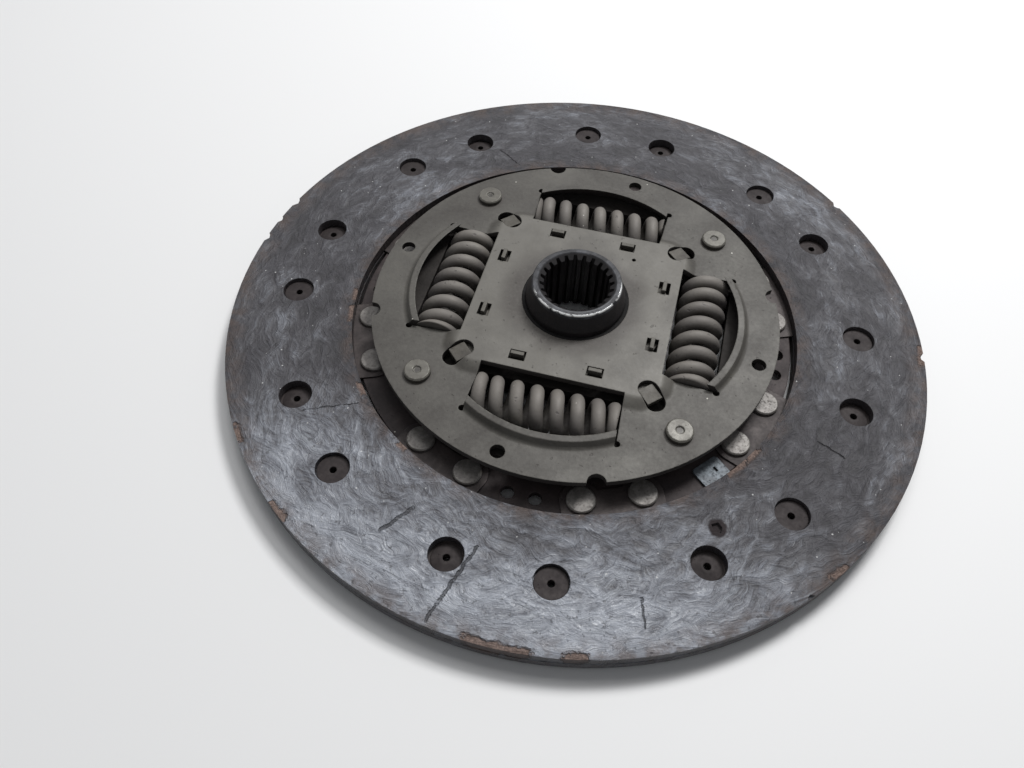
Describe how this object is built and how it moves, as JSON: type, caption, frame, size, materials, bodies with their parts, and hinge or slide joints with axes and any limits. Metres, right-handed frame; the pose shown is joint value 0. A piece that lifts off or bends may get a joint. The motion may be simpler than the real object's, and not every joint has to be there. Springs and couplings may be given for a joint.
{
  "type": "clutch disc",
  "caption": "Dry clutch friction disc with a splined hub, coil springs in plate windows and riveted facings on waved spring-steel segments.",
  "frame": {"origin": "hub axis at the mid-plane of the friction pack", "axes": "+Z along the hub's long nose, towards the gearbox side; the four spring windows lie on the X and Y axes"},
  "size_m": [0.24, 0.24, 0.0257],
  "materials": {
    "facing": "worn moulded friction lining, scuffed and greasy",
    "facing_rivet": "dulled by lining dust",
    "segment_rivet": "worn bright",
    "carrier_sheet": "dark, oily, light rust film",
    "counter_sheet": "matte phosphated sheet with clutch dust",
    "stop_rivet": "matte, dusty",
    "control_sheet": "matte, dusty",
    "spring_sheet": "oiled spring steel",
    "friction_washer": "moulded friction washer",
    "guide_plastic": "dark glass-filled nylon",
    "balance_clip": "bright zinc, dusty",
    "segment_sheet": "spring steel, oily",
    "damper_spring": "matte shot-peened wire with dust",
    "hub_steel": "blackened, bright worn edges",
    "flange_steel": "dark oiled steel"
  },
  "bodies": {
    "disc": {"front_facing": "facing", "rear_facing": "facing", "cushion_segment_1": "segment_sheet", "cushion_segment_2": "segment_sheet", "cushion_segment_3": "segment_sheet", "cushion_segment_4": "segment_sheet", "cushion_segment_5": "segment_sheet", "cushion_segment_6": "segment_sheet", "cushion_segment_7": "segment_sheet", "cushion_segment_8": "segment_sheet", "front_facing_rivets": "facing_rivet", "rear_facing_rivets": "facing_rivet", "segment_rivets": "segment_rivet", "carrier_plate": "carrier_sheet", "counter_plate": "counter_sheet", "stop_rivets": "stop_rivet", "control_plate": "control_sheet", "diaphragm_spring": "spring_sheet", "front_friction_washer": "friction_washer", "front_bush": "guide_plastic", "rear_friction_ring": "guide_plastic", "balance_clip": "balance_clip"},
    "hub": {"hub": "hub_steel", "hub_flange": "flange_steel"},
    "springs": {"damper_spring_1": "damper_spring", "damper_spring_2": "damper_spring", "damper_spring_3": "damper_spring", "damper_spring_4": "damper_spring"}
  },
  "joints": [
    {"name": "damper_twist", "type": "hinge", "parent": "disc", "child": "hub", "pos_m": [0, 0, 0], "axis": [0, 0, 1], "range_deg": [-8, 8], "stiffness_Nm_per_rad": 20, "deforming": ["damper_spring_1", "damper_spring_2", "damper_spring_3", "damper_spring_4"]},
    {"name": "spring_follow", "type": "hinge", "parent": "disc", "child": "springs", "pos_m": [0, 0, 0], "axis": [0, 0, 1], "range_deg": [-4, 4]}
  ],
  "couplings": [
    {"joint": "spring_follow", "follows": "damper_twist", "ratio": 0.5}
  ]
}
